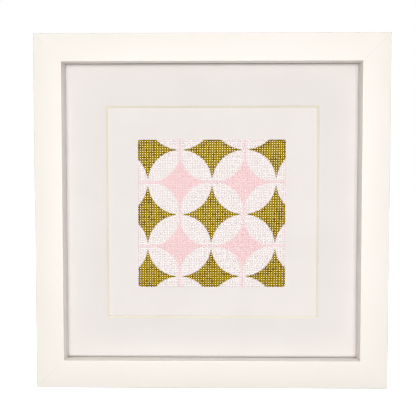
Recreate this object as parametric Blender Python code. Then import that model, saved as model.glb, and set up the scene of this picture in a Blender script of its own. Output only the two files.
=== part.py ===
"""Needlepoint canvas panel in a white box frame.

A painted open-mesh canvas floats on a white board, behind a window mount with a bevelled square
opening, at the bottom of a deep wooden frame. The panel stands upright on its bottom rail: the
front faces -Y, +Z is up, and the origin is on the ground under the middle of the frame. Metres.
"""

from math import cos, pi, radians, sin, sqrt

import bmesh
import bpy
from mathutils import Matrix, Vector

# Driving dimensions of the frame
FRAME_WIDTH = 0.296
FRAME_HEIGHT = 0.297
FRAME_DEPTH = 0.034
FACE_WIDTH = 0.0233
LIP_DEPTH = 0.007
RECESS_DEPTH = 0.015
EDGE_RADIUS = 0.0009
EDGE_STEPS = 3

# Spacer strips: the upright ones stand a step behind the lip, and the thinner level ones a deeper step
SPACER_STEP = 0.0008
SPACER_THICKNESS = 0.004
LEVEL_SPACER_THICKNESS = 0.0029

# Sheets behind the recess
WINDOW_MOUNT_THICKNESS = 0.0015
MOUNT_BOARD_THICKNESS = 0.0016
BACK_BOARD_THICKNESS = 0.003

# Window in the mount: its front opening, and where its middle lies from the middle of the frame
WINDOW_SIZE = 0.1838
WINDOW_SHIFT_X = 0.0006
WINDOW_SHIFT_Z = -0.0007

# How far the window's cutter runs past the middle of the card, in thicknesses of the card
CUTTER_REACH = 1.5

# Canvas, cut square
CANVAS_SIZE = 0.128
CANVAS_THICKNESS = 0.001
CANVAS_SHIFT_Z = -0.0017

# Clearance between pieces that touch, and how close two points are before they are one
GAP = 0.0003
MERGE_DISTANCE = 0.00001

# Depths counted back from the front face of the frame
FRONT_Y = -FRAME_DEPTH / 2
REBATE_WIDTH = SPACER_STEP + SPACER_THICKNESS + GAP
SPACER_FRONT = LIP_DEPTH + GAP
WINDOW_MOUNT_FRONT = RECESS_DEPTH + GAP
MOUNT_BOARD_FRONT = WINDOW_MOUNT_FRONT + WINDOW_MOUNT_THICKNESS + GAP
CANVAS_FRONT = MOUNT_BOARD_FRONT - GAP - CANVAS_THICKNESS
BACK_BOARD_FRONT = MOUNT_BOARD_FRONT + MOUNT_BOARD_THICKNESS + GAP

# Opening inside the lip, and the sheets and strips that fit the rebate
SIGHT_WIDTH = FRAME_WIDTH - 2 * FACE_WIDTH
SIGHT_HEIGHT = FRAME_HEIGHT - 2 * FACE_WIDTH
SHEET_WIDTH = SIGHT_WIDTH + 2 * (REBATE_WIDTH - GAP)
SHEET_HEIGHT = SIGHT_HEIGHT + 2 * (REBATE_WIDTH - GAP)
SPACER_DEPTH = RECESS_DEPTH - SPACER_FRONT
MIDDLE_Z = FRAME_HEIGHT / 2


def clear_scene():
    """Remove every object that the file opens with."""
    for obj in list(bpy.data.objects):
        bpy.data.objects.remove(obj, do_unlink=True)


def new_collection(name):
    """Make a collection under the scene's own."""
    collection = bpy.data.collections.new(name)
    bpy.context.scene.collection.children.link(collection)
    return collection


def new_material(name, colour, roughness):
    """Make a plain Principled material: all the pieces are paint, card, cotton or board."""
    material = bpy.data.materials.new(name)
    material.use_nodes = True
    shader = material.node_tree.nodes["Principled BSDF"]
    shader.inputs["Base Color"].default_value = (*colour, 1.0)
    shader.inputs["Roughness"].default_value = roughness
    shader.inputs["Metallic"].default_value = 0.0
    return material


def add_object(name, mesh, collection, material, location):
    """Put a mesh in the collection as a named object with one material."""
    obj = bpy.data.objects.new(name, mesh)
    obj.location = location
    mesh.materials.clear()
    if material:
        mesh.materials.append(material)
    collection.objects.link(obj)
    return obj


def box_mesh(name, size):
    """Make the mesh of a box of the given size about its own middle."""
    bm = bmesh.new()
    bmesh.ops.create_cube(bm, size=1.0, matrix=Matrix.Diagonal((*size, 1.0)))
    mesh = bpy.data.meshes.new(name)
    bm.to_mesh(mesh)
    bm.free()
    return mesh


def rounded(corner, before, after):
    """Give the points of an arc that rounds a square corner of an outline."""
    corner = Vector(corner)
    toward_before = (Vector(before) - corner).normalized()
    toward_after = (Vector(after) - corner).normalized()
    centre = corner + EDGE_RADIUS * (toward_before + toward_after)
    points = []
    for step in range(EDGE_STEPS + 1):
        turn = pi / 2 * step / EDGE_STEPS
        points.append(centre - EDGE_RADIUS * (toward_after * cos(turn) + toward_before * sin(turn)))
    return points


def rail_section():
    """Give the rail's L section: x counts in from the outer edge, y counts back from the front."""
    wall = FACE_WIDTH - REBATE_WIDTH
    front_outer, front_inner = (0, 0), (FACE_WIDTH, 0)
    lip_back, rebate_corner = (FACE_WIDTH, LIP_DEPTH), (wall, LIP_DEPTH)
    back_inner, back_outer = (wall, FRAME_DEPTH), (0, FRAME_DEPTH)
    return [
        *rounded(front_outer, back_outer, front_inner),
        *rounded(front_inner, front_outer, lip_back),
        Vector(lip_back),
        Vector(rebate_corner),
        Vector(back_inner),
        *rounded(back_outer, back_inner, front_outer),
    ]


def rail_mesh(name, length):
    """Extrude the section along the rail and cut both ends to the mitre."""
    curve = bpy.data.curves.new(name, "CURVE")
    curve.dimensions = "2D"
    curve.fill_mode = "BOTH"
    curve.extrude = length / 2
    outline = rail_section()
    spline = curve.splines.new("POLY")
    spline.points.add(len(outline) - 1)
    for point, place in zip(spline.points, outline):
        point.co = (place.x, place.y, 0, 1)
    spline.use_cyclic_u = True
    guide = bpy.data.objects.new(name + "_guide", curve)
    bpy.context.scene.collection.objects.link(guide)
    bpy.context.view_layer.update()
    evaluated = guide.evaluated_get(bpy.context.evaluated_depsgraph_get())
    mesh = bpy.data.meshes.new_from_object(evaluated)
    bpy.data.objects.remove(guide, do_unlink=True)

    bm = bmesh.new()
    bm.from_mesh(mesh)
    bmesh.ops.remove_doubles(bm, verts=bm.verts, dist=MERGE_DISTANCE)
    for end in (-1, 1):
        mitre = Vector((1, 0, end)).normalized()
        corner = Vector((0, 0, end * length / 2))
        bmesh.ops.bisect_plane(
            bm,
            geom=[*bm.verts, *bm.edges, *bm.faces],
            plane_co=corner - mitre * GAP / 2,
            plane_no=mitre,
            clear_outer=True,
        )
        bmesh.ops.holes_fill(bm, edges=[edge for edge in bm.edges if edge.is_boundary])
    bmesh.ops.recalc_face_normals(bm, faces=bm.faces)
    bm.to_mesh(mesh)
    bm.free()
    return mesh


def build_rails(collection, material):
    """Place the four mitred rails: each is turned about the depth axis so that it faces inwards."""
    half_width, half_height = FRAME_WIDTH / 2, FRAME_HEIGHT / 2
    rails = (
        ("frame_bottom", FRAME_WIDTH, 0, (0, -half_height)),
        ("frame_right", FRAME_HEIGHT, 90, (half_width, 0)),
        ("frame_top", FRAME_WIDTH, 180, (0, half_height)),
        ("frame_left", FRAME_HEIGHT, 270, (-half_width, 0)),
    )
    upright = Matrix(((0, 0, -1), (0, 1, 0), (1, 0, 0))).to_4x4()
    for name, length, turn, (x, z) in rails:
        location = (x, FRONT_Y, MIDDLE_Z + z)
        rail = add_object(name, rail_mesh(name, length), collection, material, location)
        rail.rotation_euler = (Matrix.Rotation(radians(-turn), 4, "Y") @ upright).to_euler()


def build_spacers(collection, material):
    """Place the strips: the top and bottom ones run through, and the side ones stand between them."""
    y = FRONT_Y + SPACER_FRONT + SPACER_DEPTH / 2
    outer = SPACER_STEP + SPACER_THICKNESS
    across = (SHEET_WIDTH, SPACER_DEPTH, LEVEL_SPACER_THICKNESS)
    side_length = SHEET_HEIGHT - 2 * (LEVEL_SPACER_THICKNESS + GAP)
    upright = (SPACER_THICKNESS, SPACER_DEPTH, side_length)
    for name, side in (("spacer_bottom", -1), ("spacer_top", 1)):
        height = SIGHT_HEIGHT / 2 + outer - LEVEL_SPACER_THICKNESS / 2
        add_object(name, box_mesh(name, across), collection, material, (0, y, MIDDLE_Z + side * height))
    for name, side in (("spacer_left", -1), ("spacer_right", 1)):
        reach = SIGHT_WIDTH / 2 + outer - SPACER_THICKNESS / 2
        add_object(name, box_mesh(name, upright), collection, material, (side * reach, y, MIDDLE_Z))


def build_window_mount(collection, cutters, material):
    """Cut a square window with a 45 degree bevel through the card, wider at the front."""
    y = FRONT_Y + WINDOW_MOUNT_FRONT + WINDOW_MOUNT_THICKNESS / 2
    size = (SHEET_WIDTH, WINDOW_MOUNT_THICKNESS, SHEET_HEIGHT)
    mount = add_object("window_mount", box_mesh("window_mount", size), collection, material, (0, y, MIDDLE_Z))

    # A four-sided cone whose walls run at 45 degrees, passing both faces of the card by its thickness
    reach = CUTTER_REACH * WINDOW_MOUNT_THICKNESS
    middle = WINDOW_SIZE / 2 - WINDOW_MOUNT_THICKNESS / 2
    to_corner = sqrt(2)
    bm = bmesh.new()
    bmesh.ops.create_cone(
        bm,
        cap_ends=True,
        segments=4,
        radius1=to_corner * (middle - reach),
        radius2=to_corner * (middle + reach),
        depth=2 * reach,
        matrix=Matrix.Rotation(radians(90), 4, "X") @ Matrix.Rotation(radians(45), 4, "Z"),
    )
    mesh = bpy.data.meshes.new("window_cutter")
    bm.to_mesh(mesh)
    bm.free()
    cutter = add_object("window_cutter", mesh, cutters, None, (WINDOW_SHIFT_X, y, MIDDLE_Z + WINDOW_SHIFT_Z))
    cutter.hide_render = True
    cutter.display_type = "WIRE"
    window = mount.modifiers.new("Window", "BOOLEAN")
    window.operation = "DIFFERENCE"
    window.solver = "EXACT"
    window.object = cutter


def build_sheet(name, size, front, collection, material, shift_z=0.0):
    """Place a flat sheet whose front face lies a given depth behind the front of the frame."""
    location = (0, FRONT_Y + front + size[1] / 2, MIDDLE_Z + shift_z)
    return add_object(name, box_mesh(name, size), collection, material, location)


def main():
    """Build the panel."""
    clear_scene()
    panel = new_collection("needlepoint_canvas_panel")
    cutters = new_collection("cutters")

    paint = new_material("white_paint", (0.86, 0.84, 0.78), 0.45)
    strip = new_material("spacer_card", (0.74, 0.72, 0.68), 0.8)
    card = new_material("mount_card", (0.84, 0.83, 0.80), 0.9)
    board = new_material("backing_card", (0.86, 0.85, 0.83), 0.9)
    cotton = new_material("painted_cotton", (0.80, 0.62, 0.50), 0.85)
    hardboard = new_material("hardboard", (0.30, 0.18, 0.10), 0.75)

    build_rails(panel, paint)
    build_spacers(panel, strip)
    build_window_mount(panel, cutters, card)
    build_sheet(
        "mount_board",
        (SHEET_WIDTH, MOUNT_BOARD_THICKNESS, SHEET_HEIGHT),
        MOUNT_BOARD_FRONT,
        panel,
        board,
    )
    build_sheet(
        "needlepoint_canvas",
        (CANVAS_SIZE, CANVAS_THICKNESS, CANVAS_SIZE),
        CANVAS_FRONT,
        panel,
        cotton,
        CANVAS_SHIFT_Z,
    )
    build_sheet(
        "back_board",
        (SHEET_WIDTH, BACK_BOARD_THICKNESS, SHEET_HEIGHT),
        BACK_BOARD_FRONT,
        panel,
        hardboard,
    )


main()
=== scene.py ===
"""Needlepoint canvas panel in a white box frame: the dressed model, its studio and its camera.

The canvas is a woven mesh of cotton threads, painted thread by thread with overlapping circles
that leave four-pointed stars between them. It floats on a white board behind a bevelled window
mount, at the bottom of a deep painted frame. All sizes are in metres. The front faces -Y, +Z is
up, and the origin is on the ground under the middle of the frame.
"""

import logging
import math
import random
from dataclasses import dataclass
from enum import Enum
from typing import Any

import bmesh
import bpy
from mathutils import Matrix, Vector


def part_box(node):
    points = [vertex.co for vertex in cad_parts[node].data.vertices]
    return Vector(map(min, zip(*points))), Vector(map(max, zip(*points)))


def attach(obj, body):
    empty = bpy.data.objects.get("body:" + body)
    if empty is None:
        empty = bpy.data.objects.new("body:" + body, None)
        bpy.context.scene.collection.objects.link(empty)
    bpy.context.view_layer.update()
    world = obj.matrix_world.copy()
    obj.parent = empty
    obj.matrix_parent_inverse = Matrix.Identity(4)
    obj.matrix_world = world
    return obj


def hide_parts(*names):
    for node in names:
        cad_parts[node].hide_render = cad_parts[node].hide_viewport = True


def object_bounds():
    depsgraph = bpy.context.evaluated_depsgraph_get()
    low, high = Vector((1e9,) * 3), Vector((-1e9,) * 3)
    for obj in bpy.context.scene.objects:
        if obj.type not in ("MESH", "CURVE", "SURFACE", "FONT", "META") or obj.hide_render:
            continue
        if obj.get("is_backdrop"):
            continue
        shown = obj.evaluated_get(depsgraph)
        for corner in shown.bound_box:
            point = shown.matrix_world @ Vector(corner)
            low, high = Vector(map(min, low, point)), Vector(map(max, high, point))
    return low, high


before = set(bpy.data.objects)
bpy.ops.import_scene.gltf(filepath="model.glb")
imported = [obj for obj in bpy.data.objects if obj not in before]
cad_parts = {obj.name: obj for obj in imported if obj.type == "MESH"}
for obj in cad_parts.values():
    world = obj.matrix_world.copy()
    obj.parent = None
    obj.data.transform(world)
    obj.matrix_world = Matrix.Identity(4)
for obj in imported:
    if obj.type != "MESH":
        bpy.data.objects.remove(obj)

log = logging.getLogger("needlepoint_panel")

Colour = tuple[float, float, float, float]
Box = tuple[Vector, Vector]
WHITE: Colour = (1.0, 1.0, 1.0, 1.0)
ROOT = "root"


class Side(Enum):
    """The four sides of the frame, each with its turn about the depth axis in degrees."""

    BOTTOM = 0
    RIGHT = 90
    TOP = 180
    LEFT = 270

    @property
    def label(self) -> str:
        """Give the side's name as the nodes spell it."""
        return self.name.lower()

    @property
    def is_level(self) -> bool:
        """Tell whether a rail on this side lies level."""
        return self in (Side.BOTTOM, Side.TOP)


class Thread(Enum):
    """The two directions of the weave."""

    WARP = "warp"
    WEFT = "weft"


class Graph:
    """A short way to add and join nodes in one node tree."""

    # Where the Mix node keeps its colour sockets, which share their names with its number sockets
    MIX_FACTOR, MIX_FIRST, MIX_SECOND, MIX_RESULT = 0, 6, 7, 2

    def __init__(self, tree: bpy.types.NodeTree) -> None:
        """Keep the tree that the nodes go in."""
        self.tree = tree

    def feed(self, socket: bpy.types.NodeSocket, value: Any) -> None:
        """Link a socket to an input, or set the input's own value.

        Args:
            socket: The input socket.
            value: An output socket, a number, a vector or a colour.
        """
        if isinstance(value, bpy.types.NodeSocket):
            self.tree.links.new(value, socket)
        else:
            socket.default_value = value

    def add(self, kind: str, inputs: dict[str, Any] | None = None, **settings: Any) -> bpy.types.Node:
        """Add a node.

        Args:
            kind: The node's type name.
            inputs: Values or links for its inputs, by name.
            **settings: The node's own properties.

        Returns:
            The new node.
        """
        node = self.tree.nodes.new(kind)
        for name, value in settings.items():
            setattr(node, name, value)
        for name, value in (inputs or {}).items():
            self.feed(node.inputs[name], value)
        return node

    def math(self, operation: str, *values: Any, clamp: bool = False) -> bpy.types.NodeSocket:
        """Add a math node.

        Args:
            operation: The name of the operation.
            *values: One to three numbers or sockets.
            clamp: Whether the result is held between 0 and 1.

        Returns:
            The result's socket.
        """
        node = self.add("ShaderNodeMath", operation=operation, use_clamp=clamp)
        for socket, value in zip(node.inputs, values):
            self.feed(socket, value)
        return node.outputs[0]

    def step(self, value: Any, low: Any, high: Any) -> bpy.types.NodeSocket:
        """Rise smoothly from 0 to 1.

        Args:
            value: What is read.
            low: Where the rise starts.
            high: Where it ends.

        Returns:
            The mask's socket.
        """
        node = self.add(
            "ShaderNodeMapRange",
            {"Value": value, "From Min": low, "From Max": high},
            interpolation_type="SMOOTHSTEP",
        )
        return node.outputs["Result"]

    def blend(self, factor: Any, first: Any, second: Any) -> bpy.types.NodeSocket:
        """Mix two colours.

        Args:
            factor: The share of the second colour.
            first: The first colour.
            second: The second colour.

        Returns:
            The mixed colour's socket.
        """
        node = self.add("ShaderNodeMix", data_type="RGBA")
        self.feed(node.inputs[self.MIX_FACTOR], factor)
        self.feed(node.inputs[self.MIX_FIRST], first)
        self.feed(node.inputs[self.MIX_SECOND], second)
        return node.outputs[self.MIX_RESULT]

    def split(self, vector: Any) -> list[bpy.types.NodeSocket]:
        """Split a vector into its three numbers."""
        return list(self.add("ShaderNodeSeparateXYZ", {"Vector": vector}).outputs)


class SharedGroup:
    """A shader node group with named inputs and outputs, built once and placed in many materials."""

    name = "shared"
    inputs: tuple[tuple[str, str, Any], ...] = ()
    outputs: tuple[str, ...] = ()

    def tree(self) -> bpy.types.NodeTree:
        """Give the group's tree, and build it the first time.

        Returns:
            The node group.
        """
        found = bpy.data.node_groups.get(self.name)
        if found:
            return found
        tree = bpy.data.node_groups.new(self.name, "ShaderNodeTree")
        for label, kind, value in self.inputs:
            socket = tree.interface.new_socket(label, in_out="INPUT", socket_type=kind)
            if value is not None:
                socket.default_value = value
        for label in self.outputs:
            tree.interface.new_socket(label, in_out="OUTPUT", socket_type="NodeSocketFloat")
        graph = Graph(tree)
        given = graph.add("NodeGroupInput")
        results = self.build(graph, {label: given.outputs[label] for label, _, _ in self.inputs})
        graph.add("NodeGroupOutput", results)
        return tree

    def build(self, graph: Graph, given: dict[str, bpy.types.NodeSocket]) -> dict[str, Any]:
        """Add the group's nodes.

        Args:
            graph: Where the nodes go.
            given: The group's inputs by name.

        Returns:
            A socket for each of the group's outputs, by name.
        """
        raise NotImplementedError

    def place(self, graph: Graph, **values: Any) -> bpy.types.Node:
        """Place the group in a material.

        Args:
            graph: The material's tree.
            **values: The group's inputs, with _ for each space in a name.

        Returns:
            The group's node.
        """
        node = graph.add("ShaderNodeGroup", node_tree=self.tree())
        for label, value in values.items():
            graph.feed(node.inputs[label.replace("_", " ")], value)
        return node


class FibreGrain(SharedGroup):
    """Fine grain over a broad mottle, as on card, paint, board and a plain floor."""

    name = "fibre_grain"
    inputs = (
        ("Vector", "NodeSocketVector", None),
        ("Grain Scale", "NodeSocketFloat", 1500.0),
        ("Mottle Scale", "NodeSocketFloat", 30.0),
    )
    outputs = ("Height", "Mottle")
    grain_detail, grain_roughness = 4.0, 0.6
    mottle_detail, mottle_low, mottle_high = 3.0, 0.35, 0.65

    def build(self, graph: Graph, given: dict[str, bpy.types.NodeSocket]) -> dict[str, Any]:
        """Add the grain and the mottle. See SharedGroup.build."""
        grain = graph.add(
            "ShaderNodeTexNoise",
            {
                "Vector": given["Vector"],
                "Scale": given["Grain Scale"],
                "Detail": self.grain_detail,
                "Roughness": self.grain_roughness,
            },
        )
        mottle = graph.add(
            "ShaderNodeTexNoise",
            {"Vector": given["Vector"], "Scale": given["Mottle Scale"], "Detail": self.mottle_detail},
        )
        return {
            "Height": grain.outputs["Fac"],
            "Mottle": graph.step(mottle.outputs["Fac"], self.mottle_low, self.mottle_high),
        }


class EdgeDistance(SharedGroup):
    """How far a point of an upright rectangle lies inside its edges."""

    name = "edge_distance"
    inputs = (
        ("Vector", "NodeSocketVector", None),
        ("Half Width", "NodeSocketFloat", 0.1),
        ("Half Height", "NodeSocketFloat", 0.1),
        ("Middle Z", "NodeSocketFloat", 0.0),
    )
    outputs = ("From Sides", "From Ends", "Nearest")

    def build(self, graph: Graph, given: dict[str, bpy.types.NodeSocket]) -> dict[str, Any]:
        """Add the distances. See SharedGroup.build."""
        x, _, z = graph.split(given["Vector"])
        across = graph.math("SUBTRACT", given["Half Width"], graph.math("ABSOLUTE", x))
        height = graph.math("ABSOLUTE", graph.math("SUBTRACT", z, given["Middle Z"]))
        along = graph.math("SUBTRACT", given["Half Height"], height)
        return {
            "From Sides": across,
            "From Ends": along,
            "Nearest": graph.math("MINIMUM", across, along),
        }


class CirclesAndStars(SharedGroup):
    """Which crossings of the weave lie in the stars that overlapping circles leave.

    The vector counts threads from the middle of the canvas. The gold stars stand on a square
    lattice, the pink ones on the same lattice half a repeat along both ways, and the circles round
    each set of stars leave the other set bare. A thin pink line runs on from the tips of the pink
    stars, and a fainter one along the top and the sides. Gap Shade is 1 in the gaps between
    threads, where the cotton's finish paints shade.
    """

    name = "circles_and_stars"
    inputs = (
        ("Vector", "NodeSocketVector", None),
        ("Repeat", "NodeSocketFloat", 26.0),
        ("Gold Radius", "NodeSocketFloat", 12.9),
        ("Pink Radius", "NodeSocketFloat", 13.2),
        ("Softness", "NodeSocketFloat", 0.3),
        ("Line Strength", "NodeSocketFloat", 0.6),
        ("Edge Strength", "NodeSocketFloat", 0.3),
        ("Edge Across", "NodeSocketFloat", 29.0),
        ("Edge Up", "NodeSocketFloat", 29.5),
        ("Gap Shade Reach", "NodeSocketFloat", 0.3),
    )
    outputs = ("Gold", "Pink", "Tone", "Seam")

    # In threads: where a gold tip fades out, how wide a pink line is, and how fast it starts at an edge
    tip_start, tip_end = 0.9, 2.0
    line_start, line_end = 0.3, 0.9
    edge_fade = 0.5
    half_thread = 0.5

    def build(self, graph: Graph, given: dict[str, bpy.types.NodeSocket]) -> dict[str, Any]:
        """Add the repeat, the circles and each crossing's own tone. See SharedGroup.build."""
        across, down, _ = graph.split(given["Vector"])
        half = graph.math("MULTIPLY", given["Repeat"], 0.5)
        from_gold_x = graph.math("PINGPONG", graph.math("ABSOLUTE", across), half)
        from_gold_y = graph.math("PINGPONG", graph.math("ABSOLUTE", down), half)
        from_pink_x = graph.math("SUBTRACT", half, from_gold_x)
        from_pink_y = graph.math("SUBTRACT", half, from_gold_y)
        from_axis = graph.math("MINIMUM", from_pink_x, from_pink_y)

        soft = given["Softness"]
        gold = graph.step(
            self.length(graph, from_pink_x, from_pink_y),
            graph.math("SUBTRACT", given["Gold Radius"], soft),
            graph.math("ADD", given["Gold Radius"], soft),
        )
        gold = graph.math("MULTIPLY", gold, graph.step(from_axis, self.tip_start, self.tip_end))
        pink = graph.step(
            self.length(graph, from_gold_x, from_gold_y),
            graph.math("SUBTRACT", given["Pink Radius"], soft),
            graph.math("ADD", given["Pink Radius"], soft),
        )
        line = graph.math("SUBTRACT", 1.0, graph.step(from_axis, self.line_start, self.line_end))
        past_side = graph.math("SUBTRACT", graph.math("ABSOLUTE", across), given["Edge Across"])
        past_top = graph.math("SUBTRACT", graph.math("MULTIPLY", down, -1.0), given["Edge Up"])
        edge = graph.step(graph.math("MAXIMUM", past_side, past_top), 0.0, self.edge_fade)
        line = graph.math("MULTIPLY", line, given["Line Strength"])
        edge = graph.math("MULTIPLY", edge, given["Edge Strength"])
        pink = graph.math("MAXIMUM", pink, graph.math("MAXIMUM", line, edge))

        crossing = graph.add(
            "ShaderNodeCombineXYZ",
            {"X": graph.math("FLOOR", across), "Y": graph.math("ROUND", down)},
        )
        tone = graph.add(
            "ShaderNodeTexWhiteNoise", {"Vector": crossing.outputs[0]}, noise_dimensions="2D"
        )
        # The gap mask, where the cotton's finish paints shade between threads
        from_warp_gap = graph.math("PINGPONG", graph.math("ABSOLUTE", across), self.half_thread)
        from_weft = graph.math("PINGPONG", graph.math("ABSOLUTE", down), self.half_thread)
        from_weft_gap = graph.math("SUBTRACT", self.half_thread, from_weft)
        nearest_gap = graph.math("MINIMUM", from_warp_gap, from_weft_gap)
        seam = graph.math("SUBTRACT", 1.0, graph.step(nearest_gap, 0.0, given["Gap Shade Reach"]))
        return {"Gold": gold, "Pink": pink, "Tone": tone.outputs["Value"], "Seam": seam}

    def length(self, graph: Graph, x: Any, y: Any) -> bpy.types.NodeSocket:
        """Give the length of a flat vector."""
        squares = graph.math("ADD", graph.math("MULTIPLY", x, x), graph.math("MULTIPLY", y, y))
        return graph.math("SQRT", squares)


class PlyTwist(SharedGroup):
    """The slanting plies of a twisted thread, from a map of metres along it and turns round it."""

    name = "ply_twist"
    inputs = (
        ("Vector", "NodeSocketVector", None),
        ("Twists Per Metre", "NodeSocketFloat", 900.0),
        ("Plies", "NodeSocketFloat", 3.0),
    )
    outputs = ("Height", "Groove")
    groove_width = 0.6

    def build(self, graph: Graph, given: dict[str, bpy.types.NodeSocket]) -> dict[str, Any]:
        """Add the plies. See SharedGroup.build."""
        along, around, _ = graph.split(given["Vector"])
        turns = graph.math("MULTIPLY_ADD", along, given["Twists Per Metre"], around)
        phase = graph.math("FRACT", graph.math("MULTIPLY", turns, given["Plies"]))
        height = graph.math("SINE", graph.math("MULTIPLY", phase, math.pi))
        groove = graph.math("SUBTRACT", 1.0, graph.step(height, 0.0, self.groove_width))
        return {"Height": height, "Groove": groove}


@dataclass(frozen=True)
class Finish:
    """A finish: one Principled material, whose colour and relief its own method adds."""

    name: str
    colour: Colour
    shade: Colour
    roughness: float
    specular: float = 0.5

    def material(self) -> bpy.types.Material:
        """Give the finish's material, and make it the first time.

        Returns:
            The material.
        """
        found = bpy.data.materials.get(self.name)
        if found:
            return found
        material = bpy.data.materials.new(self.name)
        material.use_nodes = True
        material.diffuse_color = self.colour
        shader = material.node_tree.nodes["Principled BSDF"]
        shader.inputs["Roughness"].default_value = self.roughness
        shader.inputs["Specular IOR Level"].default_value = self.specular
        self.paint(Graph(material.node_tree), shader)
        return material

    def paint(self, graph: Graph, shader: bpy.types.Node) -> None:
        """Feed the shader's colour and normal.

        Args:
            graph: The material's tree.
            shader: Its Principled BSDF.
        """
        raise NotImplementedError

    def relief(self, graph: Graph, shader: bpy.types.Node, height: Any, depth: float) -> None:
        """Raise a height map as bump.

        Args:
            graph: The material's tree.
            shader: Its Principled BSDF.
            height: The map, from 0 to 1.
            depth: How deep the map is, in metres.
        """
        bump = graph.add("ShaderNodeBump", {"Height": height, "Distance": depth, "Strength": 1.0})
        graph.feed(shader.inputs["Normal"], bump.outputs["Normal"])


@dataclass(frozen=True)
class SatinPaint(Finish):
    """White satin paint over wood, with the roller's fine stipple and a hairline at each mitre."""

    half_width: float = 0.148
    half_height: float = 0.1485
    middle_z: float = 0.1485
    mitre_width: float = 0.00012
    mitre_dark: float = 0.03
    mitre_sink: float = 0.6
    mottle_share: float = 0.3
    stipple_scale: float = 900.0
    mottle_scale: float = 14.0
    stipple_depth: float = 0.00002

    def paint(self, graph: Graph, shader: bpy.types.Node) -> None:
        """Add the paint's mottle, the mitre lines and the stipple. See Finish.paint."""
        place = graph.add("ShaderNodeTexCoord").outputs["Object"]
        grain = FibreGrain().place(
            graph, Vector=place, Grain_Scale=self.stipple_scale, Mottle_Scale=self.mottle_scale
        )
        edge = EdgeDistance().place(
            graph,
            Vector=place,
            Half_Width=self.half_width,
            Half_Height=self.half_height,
            Middle_Z=self.middle_z,
        )
        off_mitre = graph.math(
            "ABSOLUTE", graph.math("SUBTRACT", edge.outputs["From Sides"], edge.outputs["From Ends"])
        )
        line = graph.math("SUBTRACT", 1.0, graph.step(off_mitre, 0.0, self.mitre_width))
        mottle = graph.math("MULTIPLY", grain.outputs["Mottle"], self.mottle_share)
        dull = graph.math("MULTIPLY_ADD", line, self.mitre_dark, mottle)
        graph.feed(shader.inputs["Base Color"], graph.blend(dull, self.colour, self.shade))
        sunk = graph.math("MULTIPLY_ADD", line, -self.mitre_sink, grain.outputs["Height"])
        self.relief(graph, shader, sunk, self.stipple_depth)


@dataclass(frozen=True)
class Card(Finish):
    """Uncoated card or board: a faint mottle and a fine tooth."""

    tooth_depth: float = 0.000015
    grain_scale: float = 1800.0
    mottle_scale: float = 22.0

    def paint(self, graph: Graph, shader: bpy.types.Node) -> None:
        """Add the mottle and the tooth. See Finish.paint."""
        place = graph.add("ShaderNodeTexCoord").outputs["Object"]
        grain = FibreGrain().place(
            graph, Vector=place, Grain_Scale=self.grain_scale, Mottle_Scale=self.mottle_scale
        )
        graph.feed(
            shader.inputs["Base Color"], graph.blend(grain.outputs["Mottle"], self.colour, self.shade)
        )
        self.relief(graph, shader, grain.outputs["Height"], self.tooth_depth)


@dataclass(frozen=True)
class BoardWithPaintedHoleLight(Card):
    """Board with painted light under the canvas: paler over the whole square, and gold and pink bounce
    light under the stars.
    """

    # Painted light: the paler white lifts the shaded holes of the weave, and the gold and pink stand
    # for light bounced off the painted threads
    white: Colour = (0.87, 0.82, 0.80, 1.0)
    gold: Colour = (0.97, 0.87, 0.38, 1.0)
    pink: Colour = (0.98, 0.70, 0.70, 1.0)
    strength: float = 0.95
    pitch: float = 0.00212
    gold_radius: float = 13.3
    pink_radius: float = 13.6
    softness: float = 0.8
    half_width: float = 0.0625
    middle_z: float = 0.1468

    def paint(self, graph: Graph, shader: bpy.types.Node) -> None:
        """Add the board's mottle and tooth, and the painted light under the canvas. See Finish.paint.
        """
        super().paint(graph, shader)
        plain = shader.inputs["Base Color"].links[0].from_socket
        place = graph.add("ShaderNodeTexCoord").outputs["Object"]
        x, _, z = graph.split(place)
        across = graph.math("DIVIDE", x, self.pitch)
        down = graph.math("DIVIDE", graph.math("SUBTRACT", self.middle_z, z), self.pitch)
        counted = graph.add("ShaderNodeCombineXYZ", {"X": across, "Y": down})
        stars = CirclesAndStars().place(
            graph,
            Vector=counted.outputs[0],
            Gold_Radius=self.gold_radius,
            Pink_Radius=self.pink_radius,
            Softness=self.softness,
        )
        edge = EdgeDistance().place(
            graph,
            Vector=place,
            Half_Width=self.half_width,
            Half_Height=self.half_width,
            Middle_Z=self.middle_z,
        )
        # Painted light under the canvas, faded in over one thread pitch inside its edges
        inside = graph.step(edge.outputs["Nearest"], 0.0, self.pitch)
        under = graph.math("MULTIPLY", inside, self.strength)
        pink = graph.math("MULTIPLY", stars.outputs["Pink"], under)
        gold = graph.math("MULTIPLY", stars.outputs["Gold"], under)
        with_painted_light = graph.blend(under, plain, self.white)
        with_pink = graph.blend(pink, with_painted_light, self.pink)
        graph.feed(shader.inputs["Base Color"], graph.blend(gold, with_pink, self.gold))


@dataclass(frozen=True)
class StudioFloor(Card):
    """A grey sheet that glows for the camera alone, which sees it as white as the backdrop."""

    tooth_depth: float = 0.00002
    grain_scale: float = 400.0
    mottle_scale: float = 3.0
    glow: float = 1.0

    def paint(self, graph: Graph, shader: bpy.types.Node) -> None:
        """Add the sheet's tooth, and the glow that only the camera sees. See Finish.paint."""
        super().paint(graph, shader)
        shader.inputs["Emission Color"].default_value = WHITE
        seen = graph.add("ShaderNodeLightPath").outputs["Is Camera Ray"]
        graph.feed(shader.inputs["Emission Strength"], graph.math("MULTIPLY", seen, self.glow))


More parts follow.
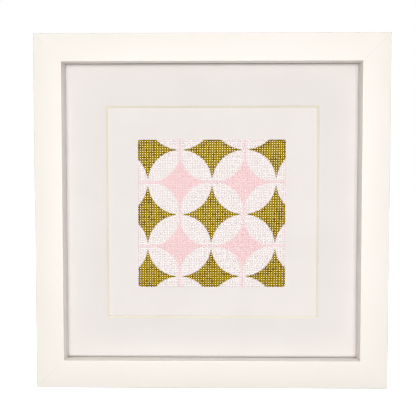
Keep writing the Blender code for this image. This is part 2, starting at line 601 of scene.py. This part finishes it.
@dataclass(frozen=True)
class Hardboard(Finish):
    """Smooth brown hardboard: short fibres pressed flat."""

    fibre_scale: float = 700.0
    mottle_scale: float = 60.0
    fleck_scale: float = 900.0
    fleck_share: float = 0.5
    fibre_depth: float = 0.00003
    contrast: float = 0.35

    def paint(self, graph: Graph, shader: bpy.types.Node) -> None:
        """Add flecks of fibre over a broad mottle. See Finish.paint."""
        place = graph.add("ShaderNodeTexCoord").outputs["Object"]
        grain = FibreGrain().place(
            graph, Vector=place, Grain_Scale=self.fibre_scale, Mottle_Scale=self.mottle_scale
        )
        fleck = graph.add("ShaderNodeTexVoronoi", {"Vector": place, "Scale": self.fleck_scale})
        flecked = graph.math(
            "MULTIPLY_ADD", fleck.outputs["Distance"], self.fleck_share, grain.outputs["Mottle"]
        )
        amount = graph.math("MULTIPLY", flecked, self.contrast, clamp=True)
        graph.feed(shader.inputs["Base Color"], graph.blend(amount, self.colour, self.shade))
        self.relief(graph, shader, grain.outputs["Height"], self.fibre_depth)


@dataclass(frozen=True)
class PaintedCotton(Finish):
    """Cotton thread painted crossing by crossing: gold and pink stars between white petals, with
    painted shade in the twist's grooves, where a thread dips under another and in the gaps between
    threads.
    """

    gold: Colour = (0.38, 0.25, 0.0, 1.0)
    gold_dark: Colour = (0.21, 0.115, 0.0, 1.0)
    pink: Colour = (1.0, 0.71, 0.73, 1.0)
    dark_start: float = 0.4
    # Painted shade: the thread's colour darkens in the twist's grooves and where it dips under a
    # crossing thread
    groove_shade: float = 0.25
    dip_start: float = 0.3
    dip_shade: float = 0.5
    # Painted shade along the gaps between threads, greyer than the thread's own shade
    seam: Colour = (0.60, 0.53, 0.52, 1.0)
    seam_shade: float = 0.3
    twist_depth: float = 0.00005

    def paint(self, graph: Graph, shader: bpy.types.Node) -> None:
        """Add the stars, the brown in the gold, painted shade in grooves, dips and gaps, and the twist.
        See Finish.paint.
        """
        counted = graph.add("ShaderNodeUVMap", uv_map=NeedlepointCanvas.COUNT_MAP).outputs["UV"]
        along = graph.add("ShaderNodeUVMap", uv_map=NeedlepointCanvas.THREAD_MAP).outputs["UV"]
        dip = graph.add("ShaderNodeAttribute", attribute_name=NeedlepointCanvas.DIP).outputs["Fac"]
        stars = CirclesAndStars().place(graph, Vector=counted)
        twist = PlyTwist().place(graph, Vector=along)
        # Painted shade in the grooves and the dips, whichever is darker
        in_groove = graph.math("MULTIPLY", twist.outputs["Groove"], self.groove_shade)
        in_dip = graph.math("MULTIPLY", graph.step(dip, self.dip_start, 1.0), self.dip_shade)
        painted_crease_shade = graph.math("MAXIMUM", in_groove, in_dip)
        white = graph.blend(painted_crease_shade, self.colour, self.shade)
        # Gold turns brown at random crossings, and it also darkens with the painted shade in grooves
        # and dips
        dark = graph.step(stars.outputs["Tone"], self.dark_start, 1.0)
        gold = graph.blend(graph.math("MAXIMUM", dark, painted_crease_shade), self.gold, self.gold_dark)
        with_pink = graph.blend(stars.outputs["Pink"], white, self.pink)
        # Painted shade in the gaps between threads, over the white and the pink
        seam = graph.math("MULTIPLY", stars.outputs["Seam"], self.seam_shade)
        with_gap_shade = graph.blend(seam, with_pink, self.seam)
        graph.feed(shader.inputs["Base Color"], graph.blend(stars.outputs["Gold"], with_gap_shade, gold))
        self.relief(graph, shader, twist.outputs["Height"], self.twist_depth)


@dataclass(frozen=True)
class Finishes:
    """Every finish of the panel and its studio."""

    paint: SatinPaint = SatinPaint(
        "white_satin_paint", (0.885, 0.84, 0.78, 1), (0.85, 0.80, 0.735, 1), 0.5, specular=0.65
    )
    strip: Card = Card("spacer_strip_card", (0.87, 0.83, 0.82, 1), (0.83, 0.79, 0.78, 1), 0.85)
    face: Card = Card("window_mount_paper", (0.79, 0.752, 0.724, 1), (0.778, 0.738, 0.71, 1), 0.9)
    core: Card = Card("window_mount_core", (0.87, 0.81, 0.68, 1), (0.83, 0.77, 0.63, 1), 0.95)
    board: BoardWithPaintedHoleLight = BoardWithPaintedHoleLight(
        "mount_board_paper", (0.82, 0.775, 0.745, 1), (0.805, 0.76, 0.73, 1), 0.9
    )
    cotton: PaintedCotton = PaintedCotton(
        "painted_cotton", (1.0, 0.93, 0.915, 1), (0.92, 0.78, 0.79, 1), 0.9, specular=0.1
    )
    backing: Hardboard = Hardboard(
        "brown_hardboard", (0.30, 0.17, 0.085, 1), (0.17, 0.09, 0.045, 1), 0.6
    )
    floor: StudioFloor = StudioFloor(
        "studio_floor", (0.36, 0.36, 0.36, 1), (0.35, 0.35, 0.35, 1), 0.95, specular=0.1
    )


FINISHES = Finishes()


def as_object(name: str, bm: bmesh.types.BMesh, finishes: list[Finish]) -> bpy.types.Object:
    """Make a finished bmesh an object at the origin.

    Args:
        name: The piece's name.
        bm: The finished bmesh, which is freed.
        finishes: Its finishes, in the order of its faces' material numbers.

    Returns:
        The new object.
    """
    mesh = bpy.data.meshes.new(name)
    bm.to_mesh(mesh)
    bm.free()
    for finish in finishes:
        mesh.materials.append(finish.material())
    obj = bpy.data.objects.new(name, mesh)
    bpy.context.scene.collection.objects.link(obj)
    return obj


def dress(node: str, finish: Finish) -> None:
    """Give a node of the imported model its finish.

    Args:
        node: The node's name.
        finish: The finish that all its faces take.
    """
    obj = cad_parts[node]
    obj.data.materials.clear()
    obj.data.materials.append(finish.material())
    log.info("dressed %s with %s", node, finish.name)


@dataclass
class BoxFrame:
    """The four mitred rails, with softened edges and tight joints."""

    edge_radius: float = 0.0007
    edge_segments: int = 5
    joint: float = 0.00004
    sharp_angle: float = 40.0

    def section(self, rail: Box, spacer: Box) -> bmesh.types.BMesh:
        """Make the bottom rail's L section as one face: X counts in from the edge, Y is the depth.

        Args:
            rail: The bottom rail's box.
            spacer: The box of the bottom spacer, which fills the rail's rebate.

        Returns:
            A bmesh with the section's face.
        """
        low, high = rail
        face, front, back = high.z - low.z, low.y, high.y
        wall = spacer[0].z - low.z - self.slack()
        lip = spacer[0].y - self.slack()
        corners = ((0, front), (face, front), (face, lip), (wall, lip), (wall, back), (0, back))
        bm = bmesh.new()
        points = [bm.verts.new((x, y, 0)) for x, y in corners]
        bm.faces.new(points)
        arrises = [points[0], points[1], points[5]]
        bmesh.ops.bevel(
            bm,
            geom=arrises,
            offset=self.edge_radius,
            offset_type="OFFSET",
            affect="VERTICES",
            segments=self.edge_segments,
            profile=0.5,
            material=-1,
        )
        return bm

    def slack(self) -> float:
        """Give the clearance between the frame's pieces: the mount board lies one behind the mount."""
        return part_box("mount_board")[0].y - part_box("window_mount")[1].y

    def rail(self, side: Side, size: Vector, middle: Vector) -> bpy.types.Object:
        """Make one rail.

        Args:
            side: Which side of the frame it is.
            size: The frame's width, depth and height.
            middle: The middle of the frame.

        Returns:
            The rail.
        """
        length = size.x if side.is_level else size.z
        reach = size.z / 2 if side.is_level else size.x / 2
        bm = self.section(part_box("frame_bottom"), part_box("spacer_bottom"))
        half = length / 2 - self.joint
        bmesh.ops.translate(bm, verts=bm.verts, vec=(0, 0, -half))
        start = list(bm.verts)
        made = bmesh.ops.extrude_face_region(bm, geom=list(bm.faces), use_keep_orig=True)
        end = [part for part in made["geom"] if isinstance(part, bmesh.types.BMVert)]
        bmesh.ops.translate(bm, verts=end, vec=(0, 0, 2 * half))
        for vert in start:
            vert.co.z += vert.co.x
        for vert in end:
            vert.co.z -= vert.co.x
        bmesh.ops.recalc_face_normals(bm, faces=bm.faces)
        upright = Matrix(((0, 0, -1), (0, 1, 0), (1, 0, 0))).to_4x4()
        outwards = Matrix.Translation((0, 0, -reach))
        turn = Matrix.Rotation(math.radians(-side.value), 4, "Y")
        place = Matrix.Translation((middle.x, 0, middle.z))
        bmesh.ops.transform(bm, verts=bm.verts, matrix=place @ turn @ outwards @ upright)
        obj = as_object(f"painted_rail_{side.label}", bm, [FINISHES.paint])
        obj.data.shade_smooth()
        obj.data.set_sharp_from_angle(angle=math.radians(self.sharp_angle))
        return obj

    def build(self) -> None:
        """Make the four rails, each in place of its node."""
        low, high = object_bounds()
        for side in Side:
            rail = self.rail(side, high - low, (low + high) / 2)
            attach(rail, ROOT)
            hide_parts(f"frame_{side.label}")
            log.info("%s: %d faces", rail.name, len(rail.data.polygons))


@dataclass
class WindowMount:
    """The white card with a bevelled window: a paper face, and a cream core that the bevel shows."""

    # The ring after the paper's thickness, from which the bevel runs back through the core
    CORE_RING = 2

    opening: float = 0.1838
    shift_x: float = 0.0006
    shift_z: float = -0.0007
    paper: float = 0.00016

    def ring(self, bm: bmesh.types.BMesh, depth: float) -> tuple[list[Any], list[Any]]:
        """Add an upright square of edges round the Y axis, two units wide.

        Args:
            bm: The bmesh that it goes in.
            depth: How far back it lies.

        Returns:
            Its vertices and its edges.
        """
        verts = bmesh.ops.create_circle(bm, segments=4, radius=math.sqrt(2))["verts"]
        bmesh.ops.rotate(bm, verts=verts, matrix=Matrix.Rotation(math.radians(45), 3, "Z"))
        bmesh.ops.rotate(bm, verts=verts, matrix=Matrix.Rotation(math.radians(90), 3, "X"))
        bmesh.ops.translate(bm, verts=verts, vec=(0, depth, 0))
        return verts, list({edge for vert in verts for edge in vert.link_edges})

    def build(self) -> None:
        """Make the mount in place of its node: rings are joined first, and moved where they belong."""
        low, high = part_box("window_mount")
        size, middle = high - low, (low + high) / 2
        window = middle + Vector((self.shift_x, 0, self.shift_z))
        half = self.opening / 2
        at_paper = half - self.paper
        at_back = half - size.y
        targets = (
            (size.x / 2, size.z / 2, middle, low.y),
            (half, half, window, low.y),
            (at_paper, at_paper, window, low.y + self.paper),
            (at_back, at_back, window, high.y),
            (size.x / 2, size.z / 2, middle, high.y),
        )
        bm = bmesh.new()
        rings = [self.ring(bm, float(number)) for number in range(len(targets))]
        for number, (_, edges) in enumerate(rings):
            following = rings[(number + 1) % len(rings)][1]
            for face in bmesh.ops.bridge_loops(bm, edges=edges + following)["faces"]:
                face.material_index = 1 if number == self.CORE_RING else 0
        for (verts, _), (half_x, half_z, centre, depth) in zip(rings, targets):
            bmesh.ops.translate(bm, verts=verts, vec=(0, -verts[0].co.y, 0))
            bmesh.ops.scale(bm, verts=verts, vec=(half_x, 1, half_z))
            bmesh.ops.translate(bm, verts=verts, vec=(centre.x, depth, centre.z))
        bmesh.ops.recalc_face_normals(bm, faces=bm.faces)
        mount = as_object("bevelled_window_mount", bm, [FINISHES.face, FINISHES.core])
        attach(mount, ROOT)
        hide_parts("window_mount")
        log.info("%s: %d faces", mount.name, len(mount.data.polygons))


@dataclass
class NeedlepointCanvas:
    """The open canvas: cotton threads that pass over and under each other, trimmed square."""

    # The maps that the finish reads: threads from the middle, metres and turns of a thread, and depth
    COUNT_MAP = "count"
    THREAD_MAP = "thread"
    DIP = "dip"

    warp_threads: int = 60
    weft_threads: int = 61
    thread_width: float = 0.00131
    thread_height: float = 0.0003
    sides: int = 6
    rings_per_crossing: int = 2
    weft_drift: float = 0.0235
    warp_fringe: float = 0.0005
    weft_fringe: float = 0.0004
    lean: float = 0.027
    rise: float = 0.0053
    lift: float = 0.00069
    edge_hold: int = 8
    weft_crowding: float = 0.016
    sway: float = 0.000015
    bends: int = 2
    uneven: float = 0.02
    trim: float = 0.00035
    clearance: float = 0.00003
    seed: int = 12

    def count(self, thread: Thread) -> int:
        """Give how many threads run in a direction."""
        return self.warp_threads if thread is Thread.WARP else self.weft_threads

    def spread(self, thread: Thread, number: float, size: float) -> float:
        """Give where a thread lies across the canvas, from its middle.

        The warp is evenly spaced, and the weft's ends stand past it on both sides. The weft lies a
        little looser towards the top, and the warp's ends stand past its last thread.

        Args:
            thread: The direction that the thread runs in.
            number: Its number, from the left or from the top, in parts of a thread between two.
            size: The canvas's size across the threads.

        Returns:
            The distance to the right of the middle, or below it.
        """
        last = self.count(thread) - 1
        fringe = self.warp_fringe if thread is Thread.WARP else 0.0
        reach = (size - self.thread_width) / 2 - fringe
        share = 2 * number / last - 1
        if thread is Thread.WARP:
            return reach * share
        looser = (self.weft_drift + self.weft_crowding * share) * (1 - share * share)
        return reach * (share + looser) - self.weft_fringe * (1 + share) / 2

    def skew(self, point: Vector, size: Vector) -> Vector:
        """Pull a point of the weave a little off square, but leave the trimmed edges where they are.

        Args:
            point: The point, from the middle of the canvas.
            size: The canvas's size.

        Returns:
            The point as it lies.
        """
        share_x, share_z = 2 * point.x / size.x, 2 * point.z / size.z
        free_x = max(0.0, 1 - share_x**self.edge_hold)
        free_z = max(0.0, 1 - share_z**self.edge_hold)
        across = self.lean * point.z * (1 + share_x) / 2 * free_x
        upward = (self.rise * point.x + self.lift) * free_z
        return Vector((point.x + across, point.y, point.z + upward))

    def single(
        self, thread: Thread, number: int, size: Vector, dice: random.Random
    ) -> bmesh.types.BMesh:
        """Make one thread, lying along its direction in the middle of the canvas's depth.

        Args:
            thread: The direction that it runs in.
            number: Its number, from the left or from the top.
            size: The canvas's width, thickness and height.
            dice: The source of its unevenness.

        Returns:
            The thread's bmesh, in the canvas's own frame: X right, Y back and Z up.
        """
        crossed = Thread.WEFT if thread is Thread.WARP else Thread.WARP
        crossings = self.count(crossed)
        across_size = size.x if thread is Thread.WARP else size.z
        along_size = size.z if thread is Thread.WARP else size.x
        rings = self.rings_per_crossing * crossings
        bm = bmesh.new()
        bmesh.ops.create_cone(
            bm, cap_ends=True, segments=self.sides, radius1=0.5, radius2=0.5, depth=2.0
        )
        runs = [edge for edge in bm.edges if abs(edge.verts[0].co.z - edge.verts[1].co.z) > 1]
        bmesh.ops.subdivide_edges(bm, edges=runs, cuts=rings - 1, use_grid_fill=True)

        width = self.thread_width * (1 + dice.uniform(-self.uneven, self.uneven))
        shift = dice.uniform(-self.sway, self.sway)
        bend, bend_phase = dice.uniform(0, self.sway), dice.uniform(0, math.tau)
        ends = [along_size / 2 - dice.uniform(0, self.trim) for _ in range(2)]
        middle = self.spread(thread, number, across_size) + shift
        count_map = bm.loops.layers.uv.new(self.COUNT_MAP)
        thread_map = bm.loops.layers.uv.new(self.THREAD_MAP)
        number_from_middle = number - (self.count(thread) - 1) / 2
        pitch = across_size / self.count(thread)
        for face in bm.faces:
            angles = [math.atan2(loop.vert.co.y, loop.vert.co.x) % math.tau for loop in face.loops]
            seam = max(angles) - min(angles) > math.pi
            for loop, angle in zip(face.loops, angles):
                turn = angle + math.tau if seam and angle < math.pi else angle
                position = (loop.vert.co.z + 1) / 2 * crossings - crossings / 2
                beside = number_from_middle + loop.vert.co.x * width / pitch
                pair = (beside, position) if thread is Thread.WARP else (position, beside)
                loop[count_map].uv = pair
                loop[thread_map].uv = (position * along_size / crossings, turn / math.tau)

        dip = bm.verts.layers.float.new(self.DIP)
        low_end, high_end = -ends[0], ends[1]
        for vert in bm.verts:
            share = (vert.co.z + 1) / 2
            place = share * crossings - 0.5
            along = min(max(self.spread(crossed, place, along_size), low_end), high_end)
            over = math.cos(math.pi * (place + number))
            lift = self.thread_height / 2 * (over if thread is Thread.WARP else -over)
            curl = bend * math.sin(bend_phase + math.tau * share * self.bends)
            off = middle + vert.co.x * width + curl
            depth = vert.co.y * self.thread_height - lift
            vert[dip] = 0.5 - lift / self.thread_height
            across, down = (off, along) if thread is Thread.WARP else (along, off)
            vert.co = self.skew(Vector((across, depth, -down)), size)
        bmesh.ops.recalc_face_normals(bm, faces=bm.faces)
        return bm

    def build(self) -> None:
        """Weave the canvas in place of its node, lying on the mount board."""
        low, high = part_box("needlepoint_canvas")
        size, middle = high - low, (low + high) / 2
        middle.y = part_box("mount_board")[0].y - self.thread_height - self.clearance
        dice = random.Random(self.seed)
        whole = bmesh.new()
        carrier = bpy.data.meshes.new("one_thread")
        for thread in Thread:
            for number in range(self.count(thread)):
                bm = self.single(thread, number, size, dice)
                bm.to_mesh(carrier)
                bm.free()
                whole.from_mesh(carrier)
        bpy.data.meshes.remove(carrier)
        bmesh.ops.translate(whole, verts=whole.verts, vec=middle)
        canvas = as_object("woven_canvas", whole, [FINISHES.cotton])
        canvas.data.shade_smooth()
        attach(canvas, ROOT)
        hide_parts("needlepoint_canvas")
        log.info("%s: %d faces", canvas.name, len(canvas.data.polygons))


@dataclass
class Boards:
    """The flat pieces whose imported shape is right, and which only take a finish."""

    def build(self) -> None:
        """Dress the spacers, the mount board and the back board."""
        for side in Side:
            dress(f"spacer_{side.label}", FINISHES.strip)
        dress("mount_board", FINISHES.board)
        dress("back_board", FINISHES.backing)


@dataclass(frozen=True)
class Softbox:
    """A rectangular area light that looks at a point and isn't seen by the camera."""

    name: str
    place: tuple[float, float, float]
    width: float
    height: float
    watts: float

    def build(self, target: Vector) -> None:
        """Add the light.

        Args:
            target: The point that it looks at.
        """
        data = bpy.data.lights.new(self.name, "AREA")
        data.shape = "RECTANGLE"
        data.size = self.width
        data.size_y = self.height
        data.energy = self.watts
        lamp = bpy.data.objects.new(self.name, data)
        lamp.location = self.place
        lamp.visible_camera = False
        lamp.rotation_euler = (target - Vector(self.place)).to_track_quat("-Z", "Y").to_euler()
        bpy.context.scene.collection.objects.link(lamp)


@dataclass
class Studio:
    """A plain pale floor, the lights and the camera.

    The key stands behind the camera, near its axis. A weaker light lies low in front, one hangs
    overhead, and two light the sides and the back. All around is a soft white glow.
    """

    floor_size: float = 80.0
    ambient: float = 0.37
    key: Softbox = Softbox("key", (0.02, -1.6, 0.225), 0.7, 0.44, 15.9)
    fill: Softbox = Softbox("fill", (0.0, -1.2, 0.06), 0.6, 0.1, 1.7)
    overhead: Softbox = Softbox("overhead", (0.0, -0.25, 1.9), 0.8, 0.3, 3.4)
    rear_left: Softbox = Softbox("rear_left", (-2.8, 2.2, 1.8), 1.5, 1.5, 60.0)
    rear_right: Softbox = Softbox("rear_right", (2.8, 2.2, 1.8), 1.5, 1.5, 60.0)
    camera_distance: float = 0.42
    camera_right: float = 0.0018
    camera_above: float = 0.0186
    camera_turn: float = 0.65
    camera_dip: float = 2.016
    lens: float = 43.62
    sensor: float = 36.0
    clip_start: float = 0.01
    pixel_filter: float = 1.0

    def floor(self) -> None:
        """Lay the floor under the frame."""
        bm = bmesh.new()
        bmesh.ops.create_grid(bm, x_segments=1, y_segments=1, size=self.floor_size / 2)
        floor = as_object("studio_floor", bm, [FINISHES.floor])
        floor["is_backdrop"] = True

    def world(self) -> None:
        """Show a white backdrop to the camera, and light the panel with a softer one."""
        world = bpy.data.worlds.new("studio")
        bpy.context.scene.world = world
        world.use_nodes = True
        graph = Graph(world.node_tree)
        background = world.node_tree.nodes["Background"]
        background.inputs["Color"].default_value = WHITE
        seen = graph.add("ShaderNodeLightPath").outputs["Is Camera Ray"]
        strength = graph.math("MULTIPLY_ADD", seen, 1.0 - self.ambient, self.ambient)
        graph.feed(background.inputs["Strength"], strength)

    def camera(self) -> None:
        """Set the camera where the photograph was taken from."""
        low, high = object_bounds()
        data = bpy.data.cameras.new("camera")
        data.lens = self.lens
        data.sensor_width = self.sensor
        data.clip_start = self.clip_start
        camera = bpy.data.objects.new("camera", data)
        camera.location = (
            self.camera_right,
            low.y - self.camera_distance,
            (low.z + high.z) / 2 + self.camera_above,
        )
        camera.rotation_euler = (math.radians(90 - self.camera_dip), 0, math.radians(self.camera_turn))
        bpy.context.scene.collection.objects.link(camera)
        bpy.context.scene.camera = camera

    def build(self) -> None:
        """Set the whole studio up."""
        self.floor()
        self.world()
        low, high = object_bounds()
        for softbox in (self.key, self.fill, self.overhead, self.rear_left, self.rear_right):
            softbox.build((low + high) / 2)
        self.camera()
        scene = bpy.context.scene
        scene.view_settings.view_transform = "Standard"
        # Guides the denoiser by the unblurred passes, which keep the weave apart at this size
        scene.cycles.denoising_prefilter = "NONE"
        scene.cycles.filter_width = self.pixel_filter


def main() -> None:
    """Dress the panel and set up its studio."""
    logging.basicConfig(level=logging.INFO, format="%(name)s: %(message)s")
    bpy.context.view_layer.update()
    Studio().build()
    BoxFrame().build()
    WindowMount().build()
    NeedlepointCanvas().build()
    Boards().build()


if __name__ == "__main__":
    main()
